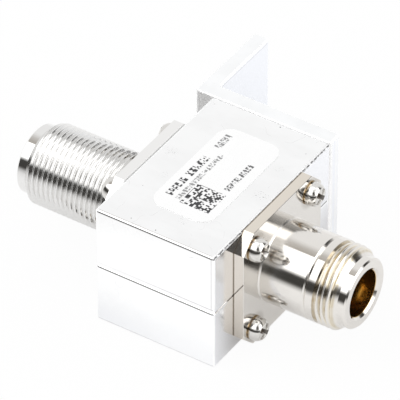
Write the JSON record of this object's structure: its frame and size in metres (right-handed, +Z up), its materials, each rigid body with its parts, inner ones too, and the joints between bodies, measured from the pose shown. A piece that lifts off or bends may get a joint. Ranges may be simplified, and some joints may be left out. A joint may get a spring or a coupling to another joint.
{
  "type": "coaxial lightning arrestor",
  "caption": "Flange-mounted coaxial surge arrestor: two-part metal housing with a threaded coaxial jack on each end, an angle mounting bracket and a gas discharge tube inside.",
  "frame": {"origin": "on the connector axis, in the outer face of the surge-side flange where the long thread starts", "axes": "+X along the connector axis towards the equipment side, +Y towards the mounting bracket, +Z up through the label"},
  "size_m": [0.0699, 0.058, 0.0255],
  "materials": {
    "housing_metal": "bright, fine ground",
    "bracket_metal": "bright, tumbled edges",
    "bright_plating": "bright nickel-coloured plating",
    "screw_plating": "bright plating",
    "steel": "plain steel",
    "gold_contact": "gold-coloured plating",
    "insulator": "waxy white",
    "ceramic": "plain ceramic",
    "copper_wire": "bare wire",
    "label_film": "white film"
  },
  "bodies": {
    "root": {"housing_upper": "housing_metal", "housing_lower": "housing_metal", "label": "label_film", "dowel_pins": "steel", "closing_screws": "steel", "mounting_bracket": "bracket_metal", "bracket_screws": "screw_plating", "surge_connector_body": "bright_plating", "surge_dielectric": "insulator", "surge_contact": "gold_contact", "surge_flange_screws": "screw_plating", "equipment_connector_body": "bright_plating", "equipment_dielectric": "insulator", "equipment_contact": "gold_contact", "equipment_flange_screws": "screw_plating", "capacitor_disc": "ceramic", "capacitor_plates": "gold_contact", "gas_tube_body": "ceramic", "gas_tube_electrodes": "steel", "tube_coil": "copper_wire", "ground_spring": "steel"}
  },
  "joints": []
}
